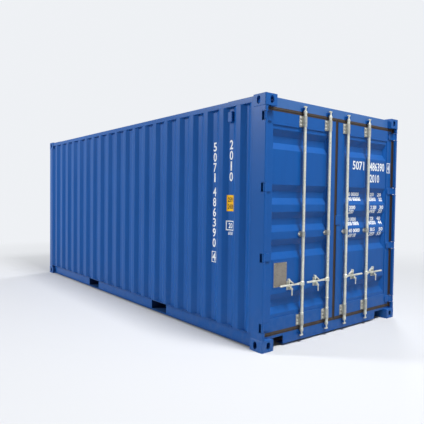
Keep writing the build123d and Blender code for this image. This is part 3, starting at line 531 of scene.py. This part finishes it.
LIP_LAP = 0.006
LIP_END_REACH = 0.034
LIP_SIDE_REACH = 0.0185
LIP_CENTRE_CLEAR = 0.0015
LIP_BACK = -0.0005
LIP_PROFILE = (
    (0.0, LIP_BACK), (0.0, 0.0006), (0.1, 0.0014), (0.34, 0.0014), (0.42, 0.0042), (0.58, 0.0042),
    (0.66, 0.0014), (0.9, 0.0014), (1.0, 0.0006), (1.0, LIP_BACK),
)
FIN_THICK = 0.004
FIN_REACH = 0.022
FIN_CLEAR = 0.018


def add_seal_lips():
    """The seal's visible lip round each leaf, and its fin along the post between the hinges."""
    for side, hand in SIDES:
        bm = bmesh.new()
        low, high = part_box(f"{hand}_door_frame")
        near, far = sorted((abs(low[1]), abs(high[1])))
        rings = []
        for share, x in LIP_PROFILE:
            end = -LIP_LAP + share * (LIP_END_REACH + LIP_LAP)
            outer = far - LIP_LAP + share * (LIP_SIDE_REACH + LIP_LAP)
            inner = near + LIP_LAP - share * (near + LIP_LAP - LIP_CENTRE_CLEAR)
            foot = low[2] - end
            head = high[2] + end
            corners = ((inner, foot), (outer, foot), (outer, head), (inner, head))
            rings.append([bm.verts.new((LEAF_X + x, side * y, z)) for y, z in corners])
        for first, second in zip(rings, rings[1:] + rings[:1]):
            band(bm, first, second)
        gap = HINGE_HALF + FIN_CLEAR
        middles = hinge_middles(hand)
        starts = [low[2] - LIP_END_REACH] + [middle + gap for middle in middles]
        stops = [middle - gap for middle in middles] + [high[2] + LIP_END_REACH]
        edge = far + LIP_SIDE_REACH
        y = sorted((side * (edge - FIN_THICK), side * edge))
        for start, stop in zip(starts, stops):
            add_box(bm, (LEAF_X + LIP_BACK, y[0], start), (LEAF_X + FIN_REACH, y[1], stop))
        bmesh.ops.recalc_face_normals(bm, faces=bm.faces[:])
        shaded(piece(f"{hand}_door_seal_lip", bm, SEAL_RUBBER, f"{hand}_door"))


# Floor boards and their screws

BOARD_GAP = 0.0015
BOARD_ROWS = 3
BOARD_EDGE = 0.001
STRIP_WIDTH = 0.045
STRIP_SUNK = 0.001
SCREW_R = 0.0055
SCREW_PROUD = 0.0008
SCREW_FROM_MIDDLE = 0.06
SCREW_FROM_EDGE = 0.05
SCREW_PITCH = 0.285
SCREWS_ACROSS = 5


def add_planks():
    """Plywood boards in rows on both sides of a steel strip, screwed to each cross member."""
    low, high = [Vector(corner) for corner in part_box("floor_boards")]
    length = (high.x - low.x) / BOARD_ROWS
    boards = bmesh.new()
    for row in range(BOARD_ROWS):
        start = low.x + row * length + BOARD_GAP / 2
        stop = low.x + (row + 1) * length - BOARD_GAP / 2
        for side, _ in SIDES:
            y = sorted((side * (STRIP_WIDTH / 2 + BOARD_GAP), side * high.y))
            add_box(boards, (start, y[0], low.z), (stop, y[1], high.z))
    bmesh.ops.bevel(boards, geom=boards.edges[:], offset=BOARD_EDGE, segments=1, affect="EDGES")
    made = piece("plywood_boards", boards, PLYWOOD, "frame")
    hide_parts("floor_boards")
    strip = bmesh.new()
    add_box(strip, (low.x, -STRIP_WIDTH / 2, low.z), (high.x, STRIP_WIDTH / 2, high.z - STRIP_SUNK))
    piece("floor_strip", strip, FRAME_PAINT, "frame")
    screws = bmesh.new()
    rows = int((high.x - low.x) / SCREW_PITCH)
    gap = (high.y - SCREW_FROM_MIDDLE - SCREW_FROM_EDGE) / (SCREWS_ACROSS - 1)
    for row in range(rows):
        x = (row - (rows - 1) / 2) * SCREW_PITCH
        for side, _ in SIDES:
            for column in range(SCREWS_ACROSS):
                at = Matrix.Translation((x, side * (SCREW_FROM_MIDDLE + column * gap), high.z))
                bmesh.ops.create_cone(screws, cap_ends=True, segments=10, radius1=SCREW_R,
                                      radius2=SCREW_R * 0.85, depth=SCREW_PROUD, matrix=at)
    piece("floor_screws", screws, GALVANISED, "frame")


# Lashing rings

RING_ROD = 0.006
RING_RADIUS = 0.028
RING_LEG = 0.03
RING_BENDS = 12
RINGS_PER_RAIL = 5
RING_PITCH = 1.112
RINGS_Z = (0.205, 2.500)
RING_Y = 1.140


def add_lashing_rings():
    """Bent rods along the foot and the head of both side walls, for tying cargo."""
    bm = bmesh.new()
    for side, _ in SIDES:
        for index in range(RINGS_PER_RAIL):
            x = (index - (RINGS_PER_RAIL - 1) / 2) * RING_PITCH
            for z in RINGS_Z:
                points = [(x + RING_RADIUS, side * (RING_Y + RING_LEG), z)]
                for step in range(RING_BENDS + 1):
                    turn = math.pi * step / RING_BENDS
                    y = side * (RING_Y - RING_RADIUS * math.sin(turn))
                    points.append((x + RING_RADIUS * math.cos(turn), y, z))
                points.append((x - RING_RADIUS, side * (RING_Y + RING_LEG), z))
                tube(bm, points, [RING_ROD] * len(points), 8)
    shaded(piece("lashing_rings", bm, FRAME_PAINT, "frame"))


# Painted marks

MARK_LIFT = 0.0004
MARK_THICK = 0.0003
LEAST_STROKE = 0.0001
FIRST_DIGITS = "5071"
LONG_DIGITS = "486390"
SHORT_DIGITS = "2010"
CHECK_DIGIT = "4"


def digits(bm, text, middle, across, height, width, bold=0.018):
    """A line of digits lying flat around its middle place, as high and as wide as asked."""
    curve = bpy.data.curves.new("digits", "FONT")
    curve.body = text
    curve.size = 1.0
    curve.resolution_u = 3
    curve.offset = bold
    writer = bpy.data.objects.new("digits", curve)
    bpy.context.scene.collection.objects.link(writer)
    outline = writer.evaluated_get(bpy.context.evaluated_depsgraph_get()).to_mesh()
    low = Vector([min(v.co[axis] for v in outline.vertices) for axis in range(3)])
    high = Vector([max(v.co[axis] for v in outline.vertices) for axis in range(3)])
    centre = (low + high) / 2
    right = Vector(across) * width / (high.x - low.x)
    above = Vector(UP) * height / (high.y - low.y)
    verts = []
    for v in outline.vertices:
        out = v.co - centre
        verts.append(bm.verts.new(Vector(middle) + right * out.x + above * out.y))
    for polygon in outline.polygons:
        bm.faces.new([verts[index] for index in polygon.vertices])
    bpy.data.objects.remove(writer)
    bpy.data.curves.remove(curve)


def ring_of_corners(bm, middle, across, width, height):
    right = Vector(across) * width / 2
    above = Vector(UP) * height / 2
    corners = ((-1, -1), (1, -1), (1, 1), (-1, 1))
    return [bm.verts.new(Vector(middle) + right * x + above * z) for x, z in corners]


def outlined(bm, middle, across, width, height, line):
    """An open rectangle of painted lines."""
    outer = ring_of_corners(bm, middle, across, width, height)
    inner = ring_of_corners(bm, middle, across, width - 2 * line, height - 2 * line)
    band(bm, outer, inner)


def laid_on(bm, skin, axes, toward, lift=MARK_LIFT):
    """Cuts flat marks along the bends of the sheet behind them and presses them onto it."""
    toward = Vector(toward)
    sheet = skin.data
    tree = BVHTree.FromPolygons([v.co for v in sheet.vertices], [p.vertices for p in sheet.polygons])
    for axis in axes:
        low = min(v.co[axis] for v in bm.verts)
        high = max(v.co[axis] for v in bm.verts)
        bends = sorted({round(v.co[axis], 4) for v in sheet.vertices if low < v.co[axis] < high})
        normal = Vector()
        normal[axis] = 1
        for bend in bends:
            everything = bm.verts[:] + bm.edges[:] + bm.faces[:]
            bmesh.ops.bisect_plane(bm, geom=everything, plane_co=normal * bend, plane_no=normal)
    bmesh.ops.dissolve_degenerate(bm, dist=LEAST_STROKE, edges=bm.edges[:])
    for v in bm.verts:
        hit = tree.ray_cast(v.co - toward * 0.2, toward)[0]
        if hit:
            v.co = hit - toward * lift
    bmesh.ops.recalc_face_normals(bm, faces=bm.faces)
    bm.normal_update()
    wrong = [face for face in bm.faces if face.normal.dot(toward) > 0]
    bmesh.ops.reverse_faces(bm, faces=wrong)
    bmesh.ops.solidify(bm, geom=bm.faces[:], thickness=MARK_THICK)


# Marks of the side walls

SIDE_MARK_Y = 1.25
LONG_STACK_X = 2.198
SHORT_STACK_X = 2.477
STACK_PITCH = 0.115
STACK_TOP = 2.120
STACK_GAP = 0.045
SHORT_STACK_RISE = 0.004
DIGIT_HEIGHT = 0.100
DIGIT_WIDTH = 0.055
NARROW_ONE = 0.4
STACK_BOX = (0.076, 0.124, 0.008)
WHITE_BOX_Z = 1.249
WHITE_BOX = (0.124, 0.105, 0.010)
WHITE_ROWS = (("20", 1.249, 0.060, 0.062), ("6058", 1.165, 0.036, 0.074))
LABEL_Z = 1.4925
LABEL_SIZE = (0.112, 0.175)
LABEL_ROWS = (("2591", 1.530, 0.050, 0.088), ("2438", 1.455, 0.050, 0.088))


def stack(bm, text, x, y, z, across):
    """Digits one below the other, and the height at which the next one would stand."""
    for digit in text:
        width = DIGIT_WIDTH * (NARROW_ONE if digit == "1" else 1.0)
        digits(bm, digit, (x, y, z), across, DIGIT_HEIGHT, width)
        z -= STACK_PITCH
    return z


def add_side_marks():
    """The stacked digits, the yellow label and the small white label near the doors on both sides."""
    for side, hand in SIDES:
        skin = skins[f"{hand}_wall"]
        across = (-side, 0, 0)
        inward = (0, -side, 0)
        y = SIDE_MARK_Y * side
        white = bmesh.new()
        z = stack(white, FIRST_DIGITS, LONG_STACK_X, y, STACK_TOP, across) - STACK_GAP
        z = stack(white, LONG_DIGITS, LONG_STACK_X, y, z, across) - STACK_GAP
        outlined(white, (LONG_STACK_X, y, z), across, *STACK_BOX)
        digits(white, CHECK_DIGIT, (LONG_STACK_X, y, z), across, DIGIT_HEIGHT * 0.9, DIGIT_WIDTH)
        stack(white, SHORT_DIGITS, SHORT_STACK_X, y, STACK_TOP + SHORT_STACK_RISE, across)
        outlined(white, (SHORT_STACK_X, y, WHITE_BOX_Z), across, *WHITE_BOX)
        for text, row_z, height, width in WHITE_ROWS:
            digits(white, text, (SHORT_STACK_X, y, row_z), across, height, width)
        laid_on(white, skin, (0,), inward)
        piece(f"{hand}_wall_marks", white, MARK_WHITE, "frame")
        yellow = bmesh.new()
        yellow.faces.new(ring_of_corners(yellow, (SHORT_STACK_X, y, LABEL_Z), across, *LABEL_SIZE))
        laid_on(yellow, skin, (0,), inward)
        piece(f"{hand}_wall_label", yellow, MARK_YELLOW, "frame")
        black = bmesh.new()
        for text, row_z, height, width in LABEL_ROWS:
            digits(black, text, (SHORT_STACK_X, y, row_z), across, height, width)
        laid_on(black, skin, (0,), inward, MARK_LIFT * 3)
        piece(f"{hand}_wall_label_digits", black, MARK_BLACK, "frame")


# Marks of the right leaf

DOOR_ACROSS = (0, 1, 0)
DOOR_IN = (-1, 0, 0)
DOOR_MARK_X = 3.03
DOOR_ROWS = (
    (FIRST_DIGITS, 0.447, 1.961, 0.106, 0.237),
    (LONG_DIGITS, 0.851, 1.961, 0.106, 0.328),
    (SHORT_DIGITS, 0.798, 1.813, 0.100, 0.212),
)
CHECK_AT = (DOOR_MARK_X, 1.0985, 1.959)
CHECK_BOX = (0.075, 0.130, 0.010)
CHECK_SIZE = (0.090, 0.036)
TABLE_HEIGHT = 0.046
TABLE_BOLD = 0.032
TABLE_ROWS = (
    (1.612, ("10 00000", 0.395, 0.232), ("250", 0.800, 0.085), ("20", 0.965, 0.090)),
    (1.553, ("100 00000", 0.410, 0.262), ("25000", 0.805, 0.150), ("22", 0.985, 0.075)),
    (1.451, ("2000", 0.335, 0.125), ("2 200", 0.790, 0.130), ("30", 0.970, 0.090)),
    (1.400, ("200", 0.320, 0.095), ("4400", 0.765, 0.135), ("33", 0.945, 0.085)),
    (1.307, ("30 0000", 0.372, 0.185), ("228", 0.805, 0.080), ("40", 0.960, 0.085)),
    (1.256, ("300 0000", 0.395, 0.230), ("50200", 0.805, 0.155), ("44", 0.980, 0.080)),
    (1.172, ("40 0000", 0.385, 0.230), ("30.5", 0.775, 0.105), ("50", 0.965, 0.090)),
    (1.113, ("400 00", 0.350, 0.160), ("3050", 0.770, 0.110), ("55", 0.933, 0.095)),
)


def add_door_marks():
    """The rows of digits on the right leaf, with a table of small values below them."""
    white = bmesh.new()
    for text, y, z, height, width in DOOR_ROWS:
        digits(white, text, (DOOR_MARK_X, y, z), DOOR_ACROSS, height, width)
    for z, *cells in TABLE_ROWS:
        for text, y, width in cells:
            digits(white, text, (DOOR_MARK_X, y, z), DOOR_ACROSS, TABLE_HEIGHT, width, TABLE_BOLD)
    laid_on(white, skins["right_door_panel"], (1, 2), DOOR_IN)
    piece("right_door_marks", white, MARK_WHITE, "right_door")
    check = bmesh.new()
    outlined(check, CHECK_AT, DOOR_ACROSS, *CHECK_BOX)
    digits(check, CHECK_DIGIT, CHECK_AT, DOOR_ACROSS, *CHECK_SIZE)
    laid_on(check, nodes["right_door_frame"], (), DOOR_IN)
    piece("right_door_check_digit", check, MARK_WHITE, "right_door")


# Bare data plate

PLATE_LOW = (-1.009, 0.630)
PLATE_HIGH = (-0.814, 0.884)
PLATE_BORDER = 0.012
PLATE_BACK = LEAF_X - 0.008
PLATE_FOOT = PLATE_BACK + 0.003
PLATE_FACE = PLATE_FOOT + 0.0015
RIVET_R = 0.004
RIVET_INSET = 0.01


def add_data_plate():
    """A bare riveted plate on the left leaf, on a blue backing sheet."""
    back = bmesh.new()
    low = [value - PLATE_BORDER for value in PLATE_LOW]
    high = [value + PLATE_BORDER for value in PLATE_HIGH]
    add_box(back, (PLATE_BACK, *low), (PLATE_FOOT, *high))
    piece("data_plate_backing", back, FRAME_PAINT, "left_door")
    plate = bmesh.new()
    add_box(plate, (PLATE_FOOT, *PLATE_LOW), (PLATE_FACE, *PLATE_HIGH))
    piece("data_plate", plate, PLATE_METAL, "left_door")
    rivets = bmesh.new()
    for y in (PLATE_LOW[0] + RIVET_INSET, PLATE_HIGH[0] - RIVET_INSET):
        for z in (PLATE_LOW[1] + RIVET_INSET, PLATE_HIGH[1] - RIVET_INSET):
            at = Matrix.Translation((PLATE_FACE, y, z))
            bmesh.ops.create_uvsphere(rivets, u_segments=12, v_segments=8, radius=RIVET_R, matrix=at)
    shaded(piece("data_plate_rivets", rivets, GALVANISED, "left_door"))


# Camera

CAMERA_AT = Vector((6.250, -4.450, 1.559))
CAMERA_YAW = math.radians(51.38)
CAMERA_PITCH = math.radians(1.89)
CAMERA_ROLL = math.radians(0.71)
CAMERA_LENS = 39.09
CAMERA_SENSOR = 36.0


def add_camera():
    level = Vector((math.cos(CAMERA_YAW), math.sin(CAMERA_YAW), 0))
    forward = Vector((-math.sin(CAMERA_YAW), math.cos(CAMERA_YAW), 0))
    ahead = forward * math.cos(CAMERA_PITCH) - Vector(UP) * math.sin(CAMERA_PITCH)
    above = level.cross(ahead)
    right = level * math.cos(CAMERA_ROLL) + above * math.sin(CAMERA_ROLL)
    top = above * math.cos(CAMERA_ROLL) - level * math.sin(CAMERA_ROLL)
    data = bpy.data.cameras.new("camera")
    data.sensor_width = CAMERA_SENSOR
    data.lens = CAMERA_LENS
    made = bpy.data.objects.new("camera", data)
    bpy.context.scene.collection.objects.link(made)
    made.matrix_world = Matrix.Translation(CAMERA_AT) @ Matrix((right, top, -ahead)).transposed().to_4x4()
    bpy.context.scene.camera = made


# Floor and light

BACK_COLOUR = (0.86, 0.88, 0.91, 1)
FLOOR_COLOUR = (0.54, 0.55, 0.57, 1)
FLOOR_SIZE = 200
FLOOR_FADE = (3.2, 9.5)
SKY_LEVEL = 0.26
LAMPS = (
    ("side_key", (-9.0, -13.0, 9.0), (0.5, -1.2, 1.3), 3.0, 2300, (1.0, 0.99, 0.97)),
    ("door_key", (6.3, -0.5, 10.5), (2.5, 0.0, 1.0), 2.5, 1600, (1.0, 1.0, 1.0)),
    ("back_fill", (-7.0, 14.0, 9.0), (-0.5, 1.2, 1.3), 4.0, 1500, (0.98, 0.99, 1.0)),
)


def seen(tree):
    """One for the rays of the camera, of gloss and of glass, and nought for those that light the object."""
    path = place(tree, "ShaderNodeLightPath")
    shown = maths(tree, "MAXIMUM", path.outputs["Is Glossy Ray"], path.outputs["Is Transmission Ray"])
    return maths(tree, "MAXIMUM", path.outputs["Is Camera Ray"], shown)


def add_floor():
    """A plain floor that keeps the shadow near the object and fades into the background around it."""
    bm = bmesh.new()
    bmesh.ops.create_grid(bm, x_segments=1, y_segments=1, size=FLOOR_SIZE)
    mesh = bpy.data.meshes.new("floor")
    bm.to_mesh(mesh)
    bm.free()
    made = bpy.data.objects.new("floor", mesh)
    bpy.context.scene.collection.objects.link(made)
    material = bpy.data.materials.new("pale_floor")
    material.use_nodes = True
    tree = material.node_tree
    shader = tree.nodes["Principled BSDF"]
    shader.inputs["Base Color"].default_value = FLOOR_COLOUR
    shader.inputs["Roughness"].default_value = 0.9
    shader.inputs["Specular IOR Level"].default_value = 0.1
    far = place(tree, "ShaderNodeEmission")
    far.inputs["Color"].default_value = BACK_COLOUR
    reach = place(tree, "ShaderNodeVectorMath", operation="LENGTH")
    tree.links.new(object_place(tree), reach.inputs[0])
    fade = spread(tree, reach.outputs["Value"], *FLOOR_FADE)
    blend = place(tree, "ShaderNodeMixShader")
    tree.links.new(times(tree, seen(tree), fade), blend.inputs[0])
    tree.links.new(shader.outputs["BSDF"], blend.inputs[1])
    tree.links.new(far.outputs["Emission"], blend.inputs[2])
    tree.links.new(blend.outputs["Shader"], tree.nodes["Material Output"].inputs["Surface"])
    mesh.materials.append(material)


def add_light():
    """Square lamps round the object, and a sky that lights it softly and shows as the background."""
    world = bpy.data.worlds.new("studio")
    bpy.context.scene.world = world
    world.use_nodes = True
    tree = world.node_tree
    back = tree.nodes["Background"]
    back.inputs["Color"].default_value = BACK_COLOUR
    tree.links.new(spread(tree, seen(tree), 0.0, 1.0, SKY_LEVEL, 1.0), back.inputs["Strength"])
    for name, at, target, size, power, colour in LAMPS:
        data = bpy.data.lights.new(name, "AREA")
        data.shape = "SQUARE"
        data.size = size
        data.energy = power
        data.color = colour
        made = bpy.data.objects.new(name, data)
        bpy.context.scene.collection.objects.link(made)
        made.location = at
        made.rotation_euler = (Vector(target) - Vector(at)).to_track_quat("-Z", "Y").to_euler()


# The whole container

for name, node in nodes.items():
    node.data.materials.clear()
    node.data.materials.append(finish_of(name))

skins = {name: softened(name, width, shortest) for name, (width, shortest) in ROUNDED.items()}
add_locking_bolts()
add_welds()
add_seal_lips()
add_planks()
add_lashing_rings()
add_side_marks()
add_door_marks()
add_data_plate()
add_camera()
add_floor()
add_light()

bpy.context.scene.view_settings.view_transform = "Standard"
